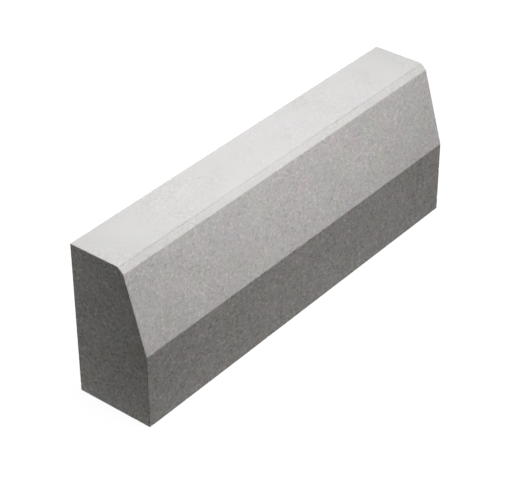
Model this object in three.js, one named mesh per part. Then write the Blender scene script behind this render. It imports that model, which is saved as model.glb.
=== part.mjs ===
// Concrete kerb stone with a battered road face.
//
// Millimetres, +Z up. X runs along the kerb, -Y is the road side and +Y the footway
// side. The origin is at the middle of the bed, the face that the stone is laid on.
//
// The stone is one casting, so it is one solid: a constant section swept along the
// kerb, with every arris softened the way a mould leaves it.

import * as THREE from "three";

// Overall size of the stone as laid
const LENGTH = 800;
const HEIGHT = 290;
const BASE_WIDTH = 150;

// Road face, from the bed up: an upright foot, a batter that leans back towards the
// footway, and a chamfer that breaks the edge of the flat top
const FOOT_HEIGHT = 140;
const BATTER_SETBACK = 40;
const CHAMFER_WIDTH = 11;
const CHAMFER_DROP = 10;

// Arrises along the kerb: the square ones at the bed and the back, the two blunt ones
// beside the chamfer, and the knee, where the foot meets the batter
const SQUARE_RADIUS = 1;
const CHAMFER_RADIUS = 2;
const KNEE_RADIUS = 6;
const ARRIS_SEGMENTS = 3;

// Arris round the outline of each end face
const END_ARRIS = 0.8;
const END_ARRIS_SEGMENTS = 3;

const concrete = new THREE.MeshStandardMaterial({
  name: "as-cast concrete",
  color: 0xc4c2be,
  roughness: 0.92,
  metalness: 0,
});

// The corners of the section, counterclockwise, as points of the Y-Z plane with the
// radius that each one is rounded to.
function sectionCorners() {
  const roadSide = -BASE_WIDTH / 2;
  const footwaySide = BASE_WIDTH / 2;
  const batterTop = roadSide + BATTER_SETBACK;
  return [
    { y: roadSide, z: 0, radius: SQUARE_RADIUS },
    { y: footwaySide, z: 0, radius: SQUARE_RADIUS },
    { y: footwaySide, z: HEIGHT, radius: SQUARE_RADIUS },
    { y: batterTop + CHAMFER_WIDTH, z: HEIGHT, radius: CHAMFER_RADIUS },
    { y: batterTop, z: HEIGHT - CHAMFER_DROP, radius: CHAMFER_RADIUS },
    { y: roadSide, z: FOOT_HEIGHT, radius: KNEE_RADIUS },
  ];
}

// Adds the arc that rounds one corner. It touches the sides that run to the corners
// before and after, and its centre lies on the line that halves the angle between them.
function addRoundedCorner(outline, before, corner, after) {
  const point = new THREE.Vector2(corner.y, corner.z);
  const toBefore = new THREE.Vector2(before.y, before.z).sub(point).normalize();
  const toAfter = new THREE.Vector2(after.y, after.z).sub(point).normalize();
  const halfAngle = toBefore.angleTo(toAfter) / 2;
  const tangentLength = corner.radius / Math.tan(halfAngle);
  const centreDistance = corner.radius / Math.sin(halfAngle);

  const bisector = toBefore.clone().add(toAfter).normalize();
  const centre = point.clone().addScaledVector(bisector, centreDistance);
  const start = point.clone().addScaledVector(toBefore, tangentLength).sub(centre);
  const end = point.clone().addScaledVector(toAfter, tangentLength).sub(centre);
  outline.absarc(centre.x, centre.y, corner.radius, start.angle(), end.angle(), false);
}

function kerbSection() {
  const corners = sectionCorners();
  const outline = new THREE.Shape();
  corners.forEach((corner, i) => {
    const before = corners.at(i - 1);
    const after = corners[(i + 1) % corners.length];
    addRoundedCorner(outline, before, corner, after);
  });
  outline.closePath();
  return outline;
}

// Sweeps the section along the kerb. The bevel rounds the end arrises inwards, so the
// stone keeps the section's full size between them.
function kerbStone() {
  const geometry = new THREE.ExtrudeGeometry(kerbSection(), {
    depth: LENGTH - 2 * END_ARRIS,
    curveSegments: ARRIS_SEGMENTS,
    bevelEnabled: true,
    bevelThickness: END_ARRIS,
    bevelSize: END_ARRIS,
    bevelOffset: -END_ARRIS,
    bevelSegments: END_ARRIS_SEGMENTS,
  });
  const stone = new THREE.Mesh(geometry, concrete);
  stone.name = "kerb_stone";
  // The section's plane turns to Y-Z and the sweep to X.
  stone.rotation.set(Math.PI / 2, 0, Math.PI / 2, "ZYX");
  stone.position.x = -LENGTH / 2 + END_ARRIS;
  return stone;
}

const kerb = new THREE.Group();
kerb.name = "kerb";
kerb.add(kerbStone());

export default kerb;
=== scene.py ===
"""Finish of a pressed concrete kerb stone, and a plain studio to look at it in.

Metres, +Z up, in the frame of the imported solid: X runs along the kerb, -Y is the road
side, +Y the footway side, and the bed lies on Z = 0.
"""

import math
import random
from collections import namedtuple

import bmesh
import bpy
from bpy.props import FloatProperty, FloatVectorProperty, IntProperty, PointerProperty
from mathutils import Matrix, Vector, geometry, noise


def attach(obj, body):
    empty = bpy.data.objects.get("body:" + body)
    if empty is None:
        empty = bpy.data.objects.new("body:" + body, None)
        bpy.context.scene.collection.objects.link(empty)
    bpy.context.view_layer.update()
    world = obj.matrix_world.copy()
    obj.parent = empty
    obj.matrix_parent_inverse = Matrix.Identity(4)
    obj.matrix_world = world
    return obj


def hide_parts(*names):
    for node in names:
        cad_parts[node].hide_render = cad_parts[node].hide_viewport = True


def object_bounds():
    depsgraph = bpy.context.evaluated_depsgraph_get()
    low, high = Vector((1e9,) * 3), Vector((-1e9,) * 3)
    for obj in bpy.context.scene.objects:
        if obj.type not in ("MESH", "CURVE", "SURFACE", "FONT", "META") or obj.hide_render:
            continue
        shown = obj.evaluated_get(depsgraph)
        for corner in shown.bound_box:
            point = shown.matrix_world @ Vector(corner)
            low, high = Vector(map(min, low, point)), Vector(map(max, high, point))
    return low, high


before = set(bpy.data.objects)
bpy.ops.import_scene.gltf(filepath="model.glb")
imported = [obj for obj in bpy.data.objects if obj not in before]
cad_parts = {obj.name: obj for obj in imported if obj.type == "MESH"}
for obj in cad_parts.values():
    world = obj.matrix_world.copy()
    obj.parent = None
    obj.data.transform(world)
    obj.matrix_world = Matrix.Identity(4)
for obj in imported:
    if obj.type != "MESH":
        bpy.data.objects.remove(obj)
CAD_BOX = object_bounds()

bl_info = {
    "name": "Kerb Stone Finish",
    "version": (1, 0, 0),
    "blender": (4, 5, 0),
    "location": "View3D > Sidebar > Kerb",
    "description": "Finishes a cast kerb stone with its grain, pores and worn arrises",
    "category": "Object",
}

MM = 0.001

# ---------------------------------------------------------------- the stone's faces

SOLID = "kerb_stone"
SOLID_NORMALS = "custom_normal"  # the plain solid's own shading, which doesn't fit the finish
SMALLEST_FLAT = 0.005  # square metres; the strips that round the arrises are narrower
END_NORMAL = 0.9  # a face whose normal lies this much along X is an end
OPPOSITE = -0.9  # two faces whose normals' product is under this meet in no arris

# The faces met on the way round the section, up the back and down the road side
GIRTH = ("back", "top", "chamfer", "batter", "foot", "bed")

# How each face leaves the mould. closed: 0 is open sandy grain, 1 a skin of fine paste.
# tone: how pale it is beside the others, partly its own paleness and
# partly painted light and shade that makes each face as bright as it looks lit.
# pink: the share of pinkish sand in it. pores: its share of the air holes.
Finish = namedtuple("Finish", "closed tone pink pores")
FINISHES = {
    "back": Finish(0.15, 1.01, 0.45, 0.8),
    "top": Finish(0.865, 0.877, 0.50, 0.03),
    "chamfer": Finish(0.78, 0.998, 0.45, 0.0),
    "batter": Finish(0.53, 1.157, 0.61, 0.4),
    "foot": Finish(0.21, 0.998, 0.51, 0.5),
    "bed": Finish(0.30, 1.01, 0.40, 1.0),
    "end": Finish(0.13, 0.949, 0.375, 0.6),
}


class Flat:
    """One of the stone's plane faces: its finish and the plane it lies in."""

    def __init__(self, name, face):
        self.finish = FINISHES[name]
        self.normal = face.normal.copy()
        self.place = face.calc_center_median()

    def depth(self, point):
        """How far the point lies under the face's plane."""
        return (self.place - point).dot(self.normal)


def girth_angle(face):
    """The turn of a face's normal round X, from 45 degrees under the back's."""
    return (math.atan2(face.normal.z, face.normal.y) + math.pi / 4) % math.tau


def find_flats(bm):
    """The faces round the section, in order, and the two ends."""
    large = [face for face in bm.faces if face.calc_area() > SMALLEST_FLAT]
    ends = [face for face in large if abs(face.normal.x) > END_NORMAL]
    girth = sorted((face for face in large if face not in ends), key=girth_angle)
    if len(girth) != len(GIRTH) or len(ends) != 2:
        raise RuntimeError("the solid doesn't have the kerb's eight flat faces")
    return (
        [Flat(name, face) for name, face in zip(GIRTH, girth)],
        [Flat("end", face) for face in sorted(ends, key=lambda face: face.normal.x)],
    )


Arris = namedtuple("Arris", "distance sharpness")


def nearest_arris(point, flats):
    """The flat that a point lies on, and its nearest arris.

    Sharpness is 1 at a square corner and falls to 0 as the two faces come into line.
    """
    flat = min(flats, key=lambda candidate: candidate.depth(point))
    best = Arris(math.inf, 0.0)
    for other in flats:
        cosine = flat.normal.dot(other.normal)
        if other is flat or cosine < OPPOSITE:
            continue
        distance = other.depth(point) / math.sqrt(1 - cosine * cosine)
        if distance < best.distance:
            best = Arris(distance, 1 - cosine)
    return flat, best


# ---------------------------------------------------------------- the sliced blank

WELD = 1e-6  # corners that lie this near each other are one
FLAT_ANGLE = math.radians(0.5)  # triangles that lie this nearly in one plane are one face

# Lines that run beside every arris, to hold its wear
ARRIS_LINES = (1.2 * MM, 2.8 * MM, 4.8 * MM)
ARRIS_ZONE = 5.0 * MM  # an arris wears no further than this from its edge
KNEE_SHARPNESS = 0.1  # the knee is so blunt that it doesn't wear
CREASE_ZONE = 6.0 * MM  # the groove is pressed no further than this from the crease
CREASE_LINES = (-1.6, -1, -0.5, 0, 0.5, 1, 1.6)  # in half widths of the groove
SIDEWAYS = 0.7  # a face whose normal lies less than this along an axis is ruled along it
COARSE = 0.7  # beside an arris, an edge longer than this many steps is halved


def welded_blank():
    """A copy of the solid's skin, welded, with each flat face in one piece."""
    bm = bmesh.new()
    bm.from_mesh(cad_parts[SOLID].data)
    bmesh.ops.remove_doubles(bm, verts=bm.verts, dist=WELD)
    bmesh.ops.dissolve_limit(bm, angle_limit=FLAT_ANGLE, verts=bm.verts, edges=bm.edges)
    return bm


def cut(bm, faces, place, normal):
    """Cuts the faces along one plane and keeps both sides."""
    verts = {vert for face in faces for vert in face.verts}
    edges = {edge for face in faces for edge in face.edges}
    parts = [*verts, *edges, *faces]
    bmesh.ops.bisect_plane(bm, geom=parts, plane_co=place, plane_no=normal, dist=WELD)


def rule_axis(bm, axis, step):
    """Cuts the faces that lie along an axis into strips about one step wide."""
    low = CAD_BOX[0][axis] + ARRIS_LINES[-1]
    high = CAD_BOX[1][axis] - ARRIS_LINES[-1]
    count = round((high - low) / step)
    normal = Vector((axis == 0, axis == 1, axis == 2))
    for i in range(count + 1):
        place = normal * (low + (high - low) * i / count)
        faces = [face for face in bm.faces if abs(face.normal[axis]) < SIDEWAYS]
        cut(bm, faces, place, normal)


class Crease:
    """The line where the top meets the chamfer, the way across it to the chamfer's side
    and the way into the stone."""

    def __init__(self, top, chamfer):
        corner = geometry.intersect_plane_plane(
            top.place, top.normal, chamfer.place, chamfer.normal
        )
        self.place, self.along = corner
        self.inward = -(top.normal + chamfer.normal).normalized()
        self.across = (chamfer.normal - top.normal).normalized()

    def reach(self, point):
        """How far the point lies from the line."""
        arm = point - self.place
        return (arm - self.along * arm.dot(self.along)).length


def witness_line(girth):
    """Where the pressing plate met the mould's chamfer."""
    return Crease(girth[GIRTH.index("top")], girth[GIRTH.index("chamfer")])


def in_arris_zone(edge, flats):
    """Whether an edge lies where an arris wears."""
    middle = (edge.verts[0].co + edge.verts[1].co) / 2
    _, arris = nearest_arris(middle, flats)
    return arris.distance < ARRIS_ZONE and arris.sharpness > KNEE_SHARPNESS


def slice_blank(bm, girth, ends, settings):
    """Rules the skin into a grid, finer beside the arrises and the witness line."""
    flats = girth + ends
    step = settings.step
    for flat in flats:
        for inset in ARRIS_LINES:
            cut(bm, bm.faces[:], flat.place - flat.normal * inset, flat.normal)
    crease = witness_line(girth)
    for share in CREASE_LINES:
        across = settings.witness_offset + share * settings.witness_width / 2
        faces = [face for face in bm.faces if crease.reach(face.calc_center_median()) < CREASE_ZONE]
        cut(bm, faces, crease.place + crease.across * across, crease.across)
    rule_axis(bm, 1, step)
    rule_axis(bm, 2, step)

    length = CAD_BOX[1].x - CAD_BOX[0].x
    along = [edge for edge in bm.edges if edge.calc_length() > length / 2]
    bmesh.ops.subdivide_edges(bm, edges=along, cuts=round(length / step) - 1)

    coarse = [edge for edge in bm.edges if edge.calc_length() > COARSE * step]
    worn = [edge for edge in coarse if in_arris_zone(edge, flats)]
    bmesh.ops.subdivide_edges(bm, edges=worn, cuts=1)


# ---------------------------------------------------------------- relief and wear

FINE_RELIEF = 0.2  # share of the relief that lies in the fine swells
FINE_SWELLS = 5  # how many fine swells lie across a broad one
SKIN_FILL = 0.6  # share of the relief that a closed skin of paste fills
RUBBED = 0.25  # depth to which an arris is rubbed all along, beside the chip depth
CHIPPED = 2.5  # how steeply the chips deepen
LEAST_WEAR = 0.3  # wear of the bluntest arris, beside a sharp one's


def waves(point, size):
    """Smooth noise from 0 to 1 whose bumps are about one size apart."""
    return 0.5 + 0.5 * noise.noise(point / size)


def relief_depth(point, settings):
    """How far a flat face falls short of its plane."""
    broad = waves(point, settings.relief_size)
    fine = waves(point, settings.relief_size / FINE_SWELLS)
    return settings.relief_depth * ((1 - FINE_RELIEF) * broad + FINE_RELIEF * fine)


def wear_depth(point, arris, settings):
    """How far an arris is rubbed and chipped back."""
    reach = 1 - arris.distance / ARRIS_ZONE
    if reach <= 0 or arris.sharpness < KNEE_SHARPNESS:
        return 0.0
    rubbed = RUBBED * waves(point, settings.chip_size / 2)
    chipped = max(0.0, noise.noise(point / settings.chip_size) - settings.chip_rarity)
    share = min(1.0, LEAST_WEAR + arris.sharpness)
    return settings.chip_depth * share * reach**2 * (rubbed + CHIPPED * chipped)


def shape_relief(bm, flats, settings):
    """Sinks the skin by its relief and its wear, and notes the wear on each vertex."""
    worn = bm.verts.layers.float.new("worn")
    bm.normal_update()
    moves = []
    for vert in bm.verts:
        flat, arris = nearest_arris(vert.co, flats)
        wear = wear_depth(vert.co, arris, settings)
        relief = relief_depth(vert.co, settings) * (1 - SKIN_FILL * flat.finish.closed)
        vert[worn] = min(1.0, wear / settings.chip_depth)
        moves.append(vert.normal * -(wear + relief))
    for vert, move in zip(bm.verts, moves):
        vert.co += move


def press_witness_line(bm, girth, settings):
    """Presses a fine groove along the witness line, and notes painted shade in it."""
    crease = witness_line(girth)
    hollow = bm.verts.layers.float["hollow"]
    for vert in bm.verts:
        across = (vert.co - crease.place).dot(crease.across) - settings.witness_offset
        apart = min(1.0, abs(across) / (settings.witness_width / 2))
        if apart < 1 and crease.reach(vert.co) < CREASE_ZONE:
            share = math.cos(apart * math.pi / 2) ** 2
            vert.co += crease.inward * settings.witness_depth * share
            vert[hollow] = settings.witness_painted_shade * share


# ---------------------------------------------------------------- pores

PORE_RINGS = (  # share of the radius, share of the depth
    (1.0, 0.05),
    (0.82, 0.6),
    (0.45, 1.0),
)
RING_INSET = 0.2 * MM  # where a new ring lies inside the last, until it is shaped
PORE_MARGIN = 2 * ARRIS_ZONE  # distance that pores keep from an arris

# The least and the most of what is drawn for each pore
PORE_DEPTH = (0.6, 1.1)  # beside its radius
PORE_STRETCH = (-0.25, 0.25)  # share by which it is longer one way than the other
PORE_WOBBLE = (0.85, 1.15)  # radius at each corner of its rings, beside its own


def is_plain(vert):
    """Whether a vertex lies in the middle of an even block of four by four quads."""
    corners = {corner for face in vert.link_faces for corner in face.verts}
    return all(len(corner.link_faces) == 4 for corner in corners) and all(
        len(face.verts) == 4 for corner in corners for face in corner.link_faces
    )


def pore_sites(bm, flats, settings, rng):
    """Vertices for the pores, on the flats, none sharing a face with another."""
    plain = [vert for vert in bm.verts if is_plain(vert)]
    rng.shuffle(plain)
    taken, sites = set(), []
    for vert in plain:
        if len(sites) == settings.pore_count:
            break
        flat, arris = nearest_arris(vert.co, flats)
        faces = set(vert.link_faces)
        if arris.distance < PORE_MARGIN or faces & taken:
            continue
        if rng.random() < flat.finish.pores:
            taken |= faces
            sites.append(vert)
    return sites


def open_site(vert):
    """Takes the vertex out, which joins the four faces round it into one."""
    ring = {corner for face in vert.link_faces for corner in face.verts} - {vert}
    bmesh.utils.vert_dissolve(vert)
    start = next(iter(ring))
    return next(face for face in start.link_faces if set(face.verts) == ring)


class Pore:
    """One air hole: a small bowl of three rings, a little out of round."""

    def __init__(self, face, settings, rng):
        self.face = face
        self.centre = face.calc_center_median()
        self.inward = -face.normal
        spread = rng.random() ** settings.pore_rarity
        smallest, largest = settings.pore_radius_min, settings.pore_radius_max
        self.radius = smallest + (largest - smallest) * spread
        self.depth = self.radius * rng.uniform(*PORE_DEPTH)
        start, end = face.edges[0].verts
        self.stretch = (start.co - end.co).normalized() * rng.uniform(*PORE_STRETCH)
        self.wobble = [rng.uniform(*PORE_WOBBLE) for _ in face.verts]

    def shape_ring(self, share, sink, layer):
        """Sets the face's corners on one ring of the bowl, and the painted shade that they take."""
        for corner, wobble in zip(self.face.verts, self.wobble):
            arm = corner.co - self.centre
            arm -= self.inward * arm.dot(self.inward)
            arm.normalize()
            arm += self.stretch * arm.dot(self.stretch.normalized())
            reach = self.radius * share * wobble
            corner.co = self.centre + arm * reach + self.inward * self.depth * sink
            corner[layer] = sink


def sink_pores(bm, flats, settings):
    """Opens the air holes that the pressed concrete keeps in its faces."""
    rng = random.Random(settings.seed)
    # The layer that takes the painted shade in the pores, darker deeper down
    layer = bm.verts.layers.float["hollow"]
    faces = [open_site(vert) for vert in pore_sites(bm, flats, settings, rng)]
    bm.normal_update()
    pores = [Pore(face, settings, rng) for face in faces]
    for share, sink in PORE_RINGS:
        bmesh.ops.inset_individual(bm, faces=faces, thickness=RING_INSET)
        for pore in pores:
            pore.shape_ring(share, sink, layer)


# ---------------------------------------------------------------- surface notes and map


def note_finish(bm, flats):
    """Writes each face's finish on its vertices, for the material to read; it holds each face's
    painted light and shade.
    """
    layers = {name: bm.verts.layers.float.new(name) for name in ("closed", "tone", "pink")}
    for vert in bm.verts:
        flat, _ = nearest_arris(vert.co, flats)
        for name, layer in layers.items():
            vert[layer] = getattr(flat.finish, name)


BAKE_MAP = "OFBake"  # the map that holds the finish once it is baked
MAP_GAP = 4 * MM  # what is left free between the pieces of the map


def along_section(flat):
    """The way that the outline runs along one of its faces."""
    return Vector((0, -flat.normal.z, flat.normal.y))


def unrolled_starts(girth):
    """Where each face starts on the section's outline, unrolled, and its whole length."""
    corners = []
    for i, flat in enumerate(girth):
        before = girth[i - 1]
        corner, _ = geometry.intersect_plane_plane(
            before.place, before.normal, flat.place, flat.normal
        )
        corners.append(corner)
    starts, total = [], 0.0
    for i, flat in enumerate(girth):
        starts.append((corners[i], total))
        after = corners[(i + 1) % len(corners)]
        total += (after - corners[i]).dot(along_section(flat))
    return starts, total


def map_surface(bm, girth, ends):
    """Unrolls the long faces into one sheet, and lays the two ends beside it."""
    layer = bm.loops.layers.uv.new(BAKE_MAP)
    low, high = CAD_BOX
    size = high - low
    starts, outline = unrolled_starts(girth)
    side = max(size.x + size.y + 3 * MAP_GAP, outline + 2 * MAP_GAP)
    for face in bm.faces:
        centre = face.calc_center_median()
        flat = min(girth + ends, key=lambda candidate: candidate.depth(centre))
        for loop in face.loops:
            point = loop.vert.co
            if flat in girth:
                corner, start = starts[girth.index(flat)]
                along = start + (point - corner).dot(along_section(flat))
                place = (MAP_GAP + high.x - point.x, MAP_GAP + along)
            elif flat is ends[0]:
                place = (2 * MAP_GAP + size.x + high.y - point.y, MAP_GAP + point.z)
            else:
                across = 2 * MAP_GAP + size.x + point.y - low.y
                place = (across, 2 * MAP_GAP + size.z + point.z)
            loop[layer].uv = (place[0] / side, place[1] / side)


# ---------------------------------------------------------------- material nodes

# The Mix node's sockets for colours
MIX_SHARE, MIX_FIRST, MIX_SECOND = 0, 6, 7
MIX_RESULT = 2


class Socket:
    """An output of a material's node. Arithmetic on it adds Math nodes."""

    def __init__(self, shader, output):
        self.shader = shader
        self.output = output

    def __add__(self, other):
        return self.shader.math("ADD", self, other)

    def __radd__(self, other):
        return self.shader.math("ADD", other, self)

    def __sub__(self, other):
        return self.shader.math("SUBTRACT", self, other)

    def __rsub__(self, other):
        return self.shader.math("SUBTRACT", other, self)

    def __mul__(self, other):
        return self.shader.math("MULTIPLY", self, other)

    def __rmul__(self, other):
        return self.shader.math("MULTIPLY", other, self)


class Shader:
    """The nodes of one material or of the world."""

    def __init__(self, owner, ending="OutputMaterial"):
        owner.use_nodes = True
        self.tree = owner.node_tree
        self.tree.nodes.clear()
        self.ending = ending

    def node(self, kind, output, settings=None, sockets=None):
        """Adds a node, sets it up, feeds its sockets and hands back one output."""
        node = self.tree.nodes.new("ShaderNode" + kind)
        for name, value in (settings or {}).items():
            setattr(node, name, value)
        for name, value in (sockets or {}).items():
            if isinstance(value, Socket):
                self.tree.links.new(value.output, node.inputs[name])
            else:
                node.inputs[name].default_value = value
        return None if output is None else Socket(self, node.outputs[output])

    def math(self, operation, first, second):
        """One step of arithmetic on two values."""
        return self.node("Math", 0, {"operation": operation}, {0: first, 1: second})

    def mix(self, blend, share, first, second):
        """Mixes two colours."""
        settings = {"data_type": "RGBA", "blend_type": blend}
        sockets = {MIX_SHARE: share, MIX_FIRST: first, MIX_SECOND: second}
        return self.node("Mix", MIX_RESULT, settings, sockets)

    def attribute(self, name):
        """A number that is noted on the mesh."""
        return self.node("Attribute", "Fac", {"attribute_name": name})

    def finish(self, surface):
        """Hands the surface to the material or the world."""
        self.node(self.ending, None, sockets={"Surface": surface})


# ---------------------------------------------------------------- concrete

GRAIN_SKEW = 0.15  # how much more the palest grains stand out than the darkest
STAIN_CONTRAST = 3  # how strongly the paste turns yellow and blue
TINT_CONTRAST = 9  # how strongly the sand turns pink and green where it is all pink
CLOSED_STAINS = 0.5  # share of the stains that shows where the skin is closed
CLOSED_CLOUDS = 0.3  # share of the clouds that shows there
HOLLOW_PAINTED_SHADE = 0.35  # how much darker the painted shade makes the bottom of a pore and of the witness groove
WORN_SHADE = 0.05  # how much paler a worn arris is
FINE_BUMPS = 2  # height of the bumps in a grain beside the grains' own
OPEN_ROUGHNESS = 0.93
CLOSED_ROUGHNESS = 0.85
SPECULAR = 0.25


def grain(shader, place, size):
    """Grains of one size: a number from about -0.5 to 0.5 for each, mostly near 0."""
    sockets = {"Vector": place, "Scale": 1 / size}
    colour = shader.node("TexVoronoi", "Color", {"feature": "F1"}, sockets)
    even = shader.node("SeparateColor", "Red", sockets={"Color": colour}) - 0.5
    # The skew lifts the mean by a twelfth of itself, which comes off again.
    return even * even * (4 * even + GRAIN_SKEW) - GRAIN_SKEW / 12


def roughen(shader, place, size, amount):
    """The place pushed about by fine noise, which frays the outlines of the grains."""
    sockets = {"Vector": place, "Scale": 1 / size, "Detail": 2}
    push = shader.node("TexNoise", "Color", sockets=sockets)
    sockets = {0: push, 1: (amount, amount, amount), 2: place}
    return shader.node("VectorMath", "Vector", {"operation": "MULTIPLY_ADD"}, sockets)


def patches(shader, place, size, detail):
    """Soft patches about one size across: a number round 0."""
    sockets = {"Vector": place, "Scale": 1 / size, "Detail": detail}
    return shader.node("TexNoise", "Fac", sockets=sockets) - 0.5


def grey(shader, value):
    """A grey as bright as the value."""
    sockets = {"Red": value, "Green": value, "Blue": value}
    return shader.node("CombineColor", "Color", sockets=sockets)


def skin_openness(shader, place, settings):
    """1 where the sand lies open, and 0 where a skin of fine paste covers it."""
    thickness = patches(shader, place, settings.skin_size, detail=2)
    return 1 - shader.attribute("closed") * (1 + settings.skin_contrast * thickness)


def concrete_shade(shader, place, grains, openness, settings):
    """How pale the concrete is: its grains, blotches and clouds, each face's own paleness with
    painted light and shade, painted shade in its pores and groove, and its wear.
    """
    sand, grit, fines = grains
    blotches = patches(shader, place, settings.blotch_size, detail=2)
    mottle = settings.sand_contrast * sand + settings.grit_contrast * grit
    mottle = mottle + settings.fines_contrast * fines + settings.blotch_contrast * blotches
    clouds = settings.cloud_contrast * patches(shader, place, settings.cloud_size, detail=2)
    shown = CLOSED_CLOUDS + (1 - CLOSED_CLOUDS) * openness
    # Each face's paleness holds painted light and shade, which makes it as bright as it looks lit
    shade = shader.attribute("tone") * (1 + openness * mottle + shown * clouds)
    # Painted shade at the bottom of the pores and in the witness groove
    shade = shade * (1 - HOLLOW_PAINTED_SHADE * shader.attribute("hollow"))
    return shade * (1 + WORN_SHADE * shader.attribute("worn"))


def concrete_colour(shader, place, openness, shade, settings):
    """Yellowish and bluish paste, tinted by pinkish and greenish sand where it is open."""
    stains = STAIN_CONTRAST * patches(shader, place, settings.stain_size, detail=1)
    age = 0.5 + (CLOSED_STAINS + (1 - CLOSED_STAINS) * openness) * stains
    paste = shader.mix("MIX", age, (*settings.yellow_paste, 1), (*settings.blue_paste, 1))
    pink = shader.attribute("pink")
    drift = TINT_CONTRAST * patches(shader, place, settings.tint_size, detail=1)
    hue = pink * (1 + pink * pink * drift)
    tint = shader.mix("MIX", hue, (*settings.cool_sand, 1), (*settings.warm_sand, 1))
    stained = shader.mix("MULTIPLY", openness, paste, tint)
    return shader.mix("MULTIPLY", 1.0, stained, grey(shader, shade))


def concrete_material(settings):
    """Pressed concrete: pale cement paste over grey, pinkish and greenish sand."""
    material = bpy.data.materials.new("concrete")
    shader = Shader(material)
    place = shader.node("TexCoord", "Object")
    ragged = roughen(shader, place, settings.sand_size / 2, settings.grain_raggedness)
    sizes = (settings.sand_size, settings.grit_size, settings.fines_size)
    sand, grit, fines = (grain(shader, ragged, size) for size in sizes)
    openness = skin_openness(shader, place, settings)
    shade = concrete_shade(shader, place, (sand, grit, fines), openness, settings)

    bumps = FINE_BUMPS * patches(shader, place, settings.sand_size, detail=2)
    height = openness * (sand + grit + bumps)
    sockets = {"Height": height, "Distance": settings.grain_height, "Strength": 1.0}
    normal = shader.node("Bump", "Normal", sockets=sockets)
    sockets = {
        "Base Color": concrete_colour(shader, place, openness, shade, settings),
        "Roughness": CLOSED_ROUGHNESS + (OPEN_ROUGHNESS - CLOSED_ROUGHNESS) * openness,
        "Specular IOR Level": SPECULAR,
        "Normal": normal,
    }
    shader.finish(shader.node("BsdfPrincipled", "BSDF", sockets=sockets))
    return material


# ---------------------------------------------------------------- settings


class CastingSettings(bpy.types.PropertyGroup):
    """Sizes of the casting's fine shape."""

    step: FloatProperty(
        name="Mesh step",
        description="Spacing of the grid that the faces are ruled into",
        default=4.5 * MM,
        unit="LENGTH",
    )
    relief_depth: FloatProperty(
        name="Relief depth",
        description="How far an open face falls short of its plane",
        default=0.12 * MM,
        unit="LENGTH",
    )
    relief_size: FloatProperty(
        name="Relief size",
        description="Distance between the broad swells of a face",
        default=70 * MM,
        unit="LENGTH",
    )
    chip_depth: FloatProperty(
        name="Chip depth",
        description="Depth of the rubbed and chipped places along the arrises",
        default=0.8 * MM,
        unit="LENGTH",
    )
    chip_size: FloatProperty(
        name="Chip size",
        description="Length of the chips along an arris",
        default=7 * MM,
        unit="LENGTH",
    )
    chip_rarity: FloatProperty(
        name="Chip rarity",
        description="Share of an arris that stays unchipped",
        default=0.3,
    )
    witness_width: FloatProperty(
        name="Witness line width",
        description="Width of the groove between the top and the chamfer",
        default=4.8 * MM,
        unit="LENGTH",
    )
    witness_offset: FloatProperty(
        name="Witness line offset",
        description="How far the groove lies towards the chamfer",
        default=2.2 * MM,
        unit="LENGTH",
    )
    witness_depth: FloatProperty(
        name="Witness line depth",
        description="Depth of the groove between the top and the chamfer",
        default=0.35 * MM,
        unit="LENGTH",
    )
    # The painted shade in the groove, as a share of a pore's
    witness_painted_shade: FloatProperty(
        name="Witness line shade",
        description="How dark the groove is beside a pore",
        default=0.26,
    )
    pore_count: IntProperty(
        name="Pores",
        description="Number of open air holes",
        default=500,
    )
    pore_radius_min: FloatProperty(
        name="Smallest pore",
        description="Radius of the smallest air hole",
        default=0.3 * MM,
        unit="LENGTH",
    )
    pore_radius_max: FloatProperty(
        name="Largest pore",
        description="Radius of the largest air hole",
        default=0.65 * MM,
        unit="LENGTH",
    )
    pore_rarity: FloatProperty(
        name="Pore rarity",
        description="The higher it is, the fewer of the pores are large",
        default=4.0,
    )
    seed: IntProperty(
        name="Seed",
        description="Start of the random draws that place the pores",
        default=7,
    )


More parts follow.
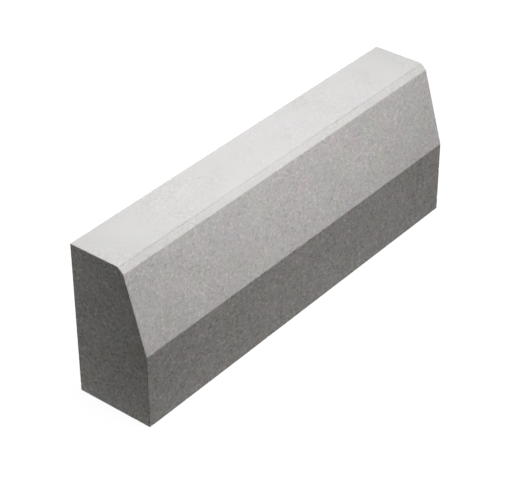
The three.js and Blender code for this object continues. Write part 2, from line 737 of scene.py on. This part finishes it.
class ConcreteSettings(bpy.types.PropertyGroup):
    """Colours and grain of the concrete."""

    yellow_paste: FloatVectorProperty(
        name="Yellowish paste",
        description="Colour of the paste where it is a little yellow",
        default=(0.609, 0.599, 0.583),
        subtype="COLOR",
    )
    blue_paste: FloatVectorProperty(
        name="Bluish paste",
        description="Colour of the paste where it is a little blue",
        default=(0.603, 0.601, 0.607),
        subtype="COLOR",
    )
    stain_size: FloatProperty(
        name="Stain size",
        description="Size of the yellowish and bluish patches",
        default=36 * MM,
        unit="LENGTH",
    )
    warm_sand: FloatVectorProperty(
        name="Warm sand",
        description="Tint of the pinkish sand",
        default=(1.0, 0.862, 0.888),
        subtype="COLOR",
    )
    cool_sand: FloatVectorProperty(
        name="Cool sand",
        description="Tint of the greenish yellow sand",
        default=(0.857, 0.911, 0.82),
        subtype="COLOR",
    )
    tint_size: FloatProperty(
        name="Tint size",
        description="Size of the pinkish and greenish patches",
        default=34 * MM,
        unit="LENGTH",
    )
    skin_size: FloatProperty(
        name="Skin patch size",
        description="Size of the patches where the skin of paste is thicker or thinner",
        default=90 * MM,
        unit="LENGTH",
    )
    skin_contrast: FloatProperty(
        name="Skin contrast",
        description="How much the skin of paste differs in thickness",
        default=0.9,
    )
    sand_size: FloatProperty(
        name="Sand size",
        description="Size of the fine sand grains",
        default=2.0 * MM,
        unit="LENGTH",
    )
    sand_contrast: FloatProperty(
        name="Sand contrast",
        description="How much the fine grains differ in brightness",
        default=0.54,
    )
    grit_size: FloatProperty(
        name="Grit size",
        description="Size of the coarse grains",
        default=3.6 * MM,
        unit="LENGTH",
    )
    grit_contrast: FloatProperty(
        name="Grit contrast",
        description="How much the coarse grains differ in brightness",
        default=0.78,
    )
    grain_raggedness: FloatProperty(
        name="Grain raggedness",
        description="How far the outlines of the grains wander",
        default=3.0 * MM,
        unit="LENGTH",
    )
    fines_size: FloatProperty(
        name="Fines size",
        description="Size of the finest grains",
        default=1.2 * MM,
        unit="LENGTH",
    )
    fines_contrast: FloatProperty(
        name="Fines contrast",
        description="How much the finest grains differ in brightness",
        default=0.42,
    )
    blotch_size: FloatProperty(
        name="Blotch size",
        description="Size of the blotches where sand and paste lie unevenly",
        default=9 * MM,
        unit="LENGTH",
    )
    blotch_contrast: FloatProperty(
        name="Blotch contrast",
        description="How much the blotches differ in brightness",
        default=0.4,
    )
    grain_height: FloatProperty(
        name="Grain height",
        description="How far the grains stand out of an open face",
        default=0.05 * MM,
        unit="LENGTH",
    )
    cloud_size: FloatProperty(
        name="Cloud size",
        description="Size of the broad pale and dark clouds",
        default=60 * MM,
        unit="LENGTH",
    )
    cloud_contrast: FloatProperty(
        name="Cloud contrast",
        description="How much the clouds differ in brightness",
        default=0.28,
    )


class StudioSettings(bpy.types.PropertyGroup):
    """Light and floor of the studio."""

    floor_width: FloatProperty(
        name="Floor width",
        description="Width of the square floor",
        default=16.0,
        unit="LENGTH",
    )
    key_power: FloatProperty(
        name="Key power",
        description="Power of the broad lamp overhead",
        default=31.5,
        unit="POWER",
    )
    front_power: FloatProperty(
        name="Front power",
        description="Power of the low lamp in front of the middle",
        default=0.401,
        unit="POWER",
    )
    near_high_power: FloatProperty(
        name="Near high power",
        description="Power of the lamp that looks down on the near end",
        default=0.551,
        unit="POWER",
    )
    near_low_power: FloatProperty(
        name="Near low power",
        description="Power of the low lamp that grazes the near end from behind",
        default=1.39,
        unit="POWER",
    )
    far_power: FloatProperty(
        name="Far power",
        description="Power of the lamp beyond the far end",
        default=3.79,
        unit="POWER",
    )
    rear_power: FloatProperty(
        name="Rear power",
        description="Power of the lamp behind the kerb",
        default=3.38,
        unit="POWER",
    )
    strip_power: FloatProperty(
        name="Strip power",
        description="Power of the long low lamp behind the kerb",
        default=2.2,
        unit="POWER",
    )
    pool_light: FloatProperty(
        name="Pool of light",
        description="Light that the floor throws back beside the stone",
        default=0.224,
    )
    sky: FloatProperty(
        name="Sky",
        description="Strength of the light that comes from all round",
        default=0.017,
    )


# ---------------------------------------------------------------- the stone

SHARP_ANGLE = math.radians(40)  # an edge that turns more than this isn't shaded smooth


class KERB_OT_make_stone(bpy.types.Operator):
    """Make the finished kerb stone in place of the plain solid"""

    bl_idname = "kerb.make_stone"
    bl_label = "Make Kerb Stone"

    def execute(self, context):
        casting = context.scene.kerb_casting
        bm = welded_blank()
        girth, ends = find_flats(bm)
        flats = girth + ends
        slice_blank(bm, girth, ends, casting)
        # A layer for the painted shade in the pores and in the witness groove
        bm.verts.layers.float.new("hollow")
        shape_relief(bm, flats, casting)
        press_witness_line(bm, girth, casting)
        sink_pores(bm, flats, casting)
        note_finish(bm, flats)
        map_surface(bm, girth, ends)

        mesh = bpy.data.meshes.new("kerb_casting")
        bm.to_mesh(mesh)
        bm.free()
        mesh.attributes.remove(mesh.attributes[SOLID_NORMALS])
        mesh.shade_smooth()
        mesh.set_sharp_from_angle(angle=SHARP_ANGLE)
        mesh.materials.append(concrete_material(context.scene.kerb_concrete))
        stone = bpy.data.objects.new("kerb_casting", mesh)
        context.collection.objects.link(stone)
        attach(stone, "root")
        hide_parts(SOLID)
        return {"FINISHED"}


# ---------------------------------------------------------------- the studio

# Soft lamps: the setting that holds each one's power, its place, the point that it
# faces, and the width and height of its glowing rectangle
Lamp = namedtuple("Lamp", "name power place aim width height")
LAMPS = (
    Lamp("key", "key_power", (0, -0.32, 1.8), (0, 0, 0.2), 0.8, 0.8),
    Lamp("front_low", "front_power", (0, -0.7, 0.45), (0, 0, 0.15), 0.3, 0.3),
    Lamp("near_high", "near_high_power", (-1.2, 0.6, 0.9), (-0.4, 0, 0.15), 0.6, 0.6),
    Lamp("near_low", "near_low_power", (-0.7, 0.8, 0.25), (-0.4, 0, 0.15), 0.4, 0.4),
    Lamp("far_fill", "far_power", (2, -0.5, 1.2), (0, 0, 0.15), 1.2, 1.2),
    Lamp("rear", "rear_power", (0.6, 2.2, 1.4), (0, 0, 0.15), 1.4, 1.4),
    Lamp("rear_strip", "strip_power", (0, 0.6, 0.5), (0, 0, 0.25), 2.0, 0.2),
)

CAMERA_PLACE = Vector((-1.9983, -1.5981, 1.8853))
CAMERA_AIM = Vector((-0.026, 0.0139, 0.1108))
CAMERA_ROLL = math.radians(-0.390)
CAMERA_LENS = 128.73  # the lens and the sensor are in millimetres
SENSOR_WIDTH = 36.0

# How white the floor is beside the stone and far off, before the lamps light it, and
# the distances from the stone between which it changes
WHITE_NEAR, WHITE_FAR = 0.95, 1.0
WHITE_SPAN = (0.2, 1.5)
SHADOW_CATCH = (0.1, 0.1, 0.1)  # a dull grey that takes the stone's shadow
POOL_REACH = 0.4  # how far from the stone the floor throws light back


def facing(place, aim):
    """The turn of a lamp or a camera that looks from one point at another."""
    return (aim - place).to_track_quat("-Z", "Y").to_euler()


def add_lamp(lamp, power):
    """Sets up one soft lamp."""
    data = bpy.data.lights.new(lamp.name, "AREA")
    data.shape = "RECTANGLE"
    data.size = lamp.width
    data.size_y = lamp.height
    data.energy = power
    light = bpy.data.objects.new(lamp.name, data)
    light.location = lamp.place
    light.rotation_euler = facing(Vector(lamp.place), Vector(lamp.aim))
    bpy.context.collection.objects.link(light)


def add_camera():
    """Sets up the camera, above the road side and beyond the left end."""
    data = bpy.data.cameras.new("camera")
    data.lens = CAMERA_LENS
    data.sensor_width = SENSOR_WIDTH
    camera = bpy.data.objects.new("camera", data)
    camera.location = CAMERA_PLACE
    camera.rotation_euler = facing(CAMERA_PLACE, CAMERA_AIM)
    camera.rotation_euler.rotate_axis("Z", CAMERA_ROLL)
    bpy.context.collection.objects.link(camera)
    bpy.context.scene.camera = camera


def seen_rays(shader):
    """1 where the camera sees a surface, straight or in a reflection or through glass."""
    rays = ("Is Camera Ray", "Is Glossy Ray", "Is Transmission Ray")
    camera, glossy, clear = (shader.node("LightPath", ray) for ray in rays)
    return camera + glossy + clear


def distance_from_stone(shader):
    """How far a place on the floor lies from the stone's footprint."""
    half = (CAD_BOX[1] - CAD_BOX[0]) / 2
    place = shader.node("TexCoord", "Object")
    folded = shader.node("VectorMath", "Vector", {"operation": "ABSOLUTE"}, {0: place})
    sockets = {0: folded, 1: (half.x, half.y, 0.0)}
    beyond = shader.node("VectorMath", "Vector", {"operation": "SUBTRACT"}, sockets)
    sockets = {0: beyond, 1: (0.0, 0.0, 0.0)}
    outside = shader.node("VectorMath", "Vector", {"operation": "MAXIMUM"}, sockets)
    return shader.node("VectorMath", "Value", {"operation": "LENGTH"}, {0: outside})


def fade(shader, value, first, last, span):
    """Runs evenly from the first number to the last as the value crosses the span."""
    sockets = {"Value": value, "From Min": span[0], "From Max": span[1]}
    sockets |= {"To Min": first, "To Max": last}
    return shader.node("MapRange", "Result", {"data_type": "FLOAT", "clamp": True}, sockets)


def floor_material(pool_light):
    """A pale floor that looks white and keeps a shadow, lit up round the stone's foot."""
    material = bpy.data.materials.new("studio_floor")
    shader = Shader(material)
    reach = distance_from_stone(shader)
    white = fade(shader, reach, WHITE_NEAR, WHITE_FAR, WHITE_SPAN)
    glow = shader.node("Emission", "Emission", sockets={"Color": grey(shader, white)})
    matt = shader.node("BsdfDiffuse", "BSDF", sockets={"Color": (*SHADOW_CATCH, 1)})
    seen = shader.node("AddShader", "Shader", sockets={0: glow, 1: matt})
    pool = fade(shader, reach, pool_light, 0.0, (0.0, POOL_REACH))
    lit = shader.node("Emission", "Emission", sockets={"Color": grey(shader, pool)})
    sockets = {0: seen_rays(shader), 1: lit, 2: seen}
    shader.finish(shader.node("MixShader", "Shader", sockets=sockets))
    return material


def add_floor(width, pool_light):
    """Lays a square floor under the stone."""
    bm = bmesh.new()
    bmesh.ops.create_grid(bm, x_segments=1, y_segments=1, size=width / 2)
    mesh = bpy.data.meshes.new("studio_floor")
    bm.to_mesh(mesh)
    bm.free()
    mesh.materials.append(floor_material(pool_light))
    floor = bpy.data.objects.new("studio_floor", mesh)
    bpy.context.collection.objects.link(floor)


def light_world(strength):
    """An even sky that lights the stone at its strength and looks white."""
    scene = bpy.context.scene
    scene.world = bpy.data.worlds.new("studio")
    shader = Shader(scene.world, "OutputWorld")
    white = (1, 1, 1, 1)
    sky, backdrop = (
        shader.node("Background", "Background", sockets={"Color": white, "Strength": level})
        for level in (strength, 1.0)
    )
    sockets = {0: seen_rays(shader), 1: sky, 2: backdrop}
    shader.finish(shader.node("MixShader", "Shader", sockets=sockets))


class KERB_OT_make_studio(bpy.types.Operator):
    """Make the floor, the lamps and the camera"""

    bl_idname = "kerb.make_studio"
    bl_label = "Make Studio"

    def execute(self, context):
        studio = context.scene.kerb_studio
        add_floor(studio.floor_width, studio.pool_light)
        light_world(studio.sky)
        for lamp in LAMPS:
            add_lamp(lamp, getattr(studio, lamp.power))
        add_camera()
        context.scene.view_settings.view_transform = "Standard"
        return {"FINISHED"}


# ---------------------------------------------------------------- panel and run


class KERB_PT_panel(bpy.types.Panel):
    """The kerb stone's settings and the buttons that make it"""

    bl_label = "Kerb Stone"
    bl_idname = "KERB_PT_panel"
    bl_space_type = "VIEW_3D"
    bl_region_type = "UI"
    bl_category = "Kerb"

    def draw(self, context):
        for operator, owner in (
            ("kerb.make_stone", context.scene.kerb_casting),
            (None, context.scene.kerb_concrete),
            ("kerb.make_studio", context.scene.kerb_studio),
        ):
            box = self.layout.box()
            for name in owner.__annotations__:
                box.prop(owner, name)
            if operator:
                box.operator(operator)


CLASSES = (
    CastingSettings,
    ConcreteSettings,
    StudioSettings,
    KERB_OT_make_stone,
    KERB_OT_make_studio,
    KERB_PT_panel,
)


def register():
    for cls in CLASSES:
        bpy.utils.register_class(cls)
    bpy.types.Scene.kerb_casting = PointerProperty(type=CastingSettings)
    bpy.types.Scene.kerb_concrete = PointerProperty(type=ConcreteSettings)
    bpy.types.Scene.kerb_studio = PointerProperty(type=StudioSettings)


def unregister():
    del bpy.types.Scene.kerb_studio
    del bpy.types.Scene.kerb_concrete
    del bpy.types.Scene.kerb_casting
    for cls in reversed(CLASSES):
        bpy.utils.unregister_class(cls)


def main():
    register()
    bpy.ops.kerb.make_stone()
    bpy.ops.kerb.make_studio()


if __name__ == "__main__":
    main()
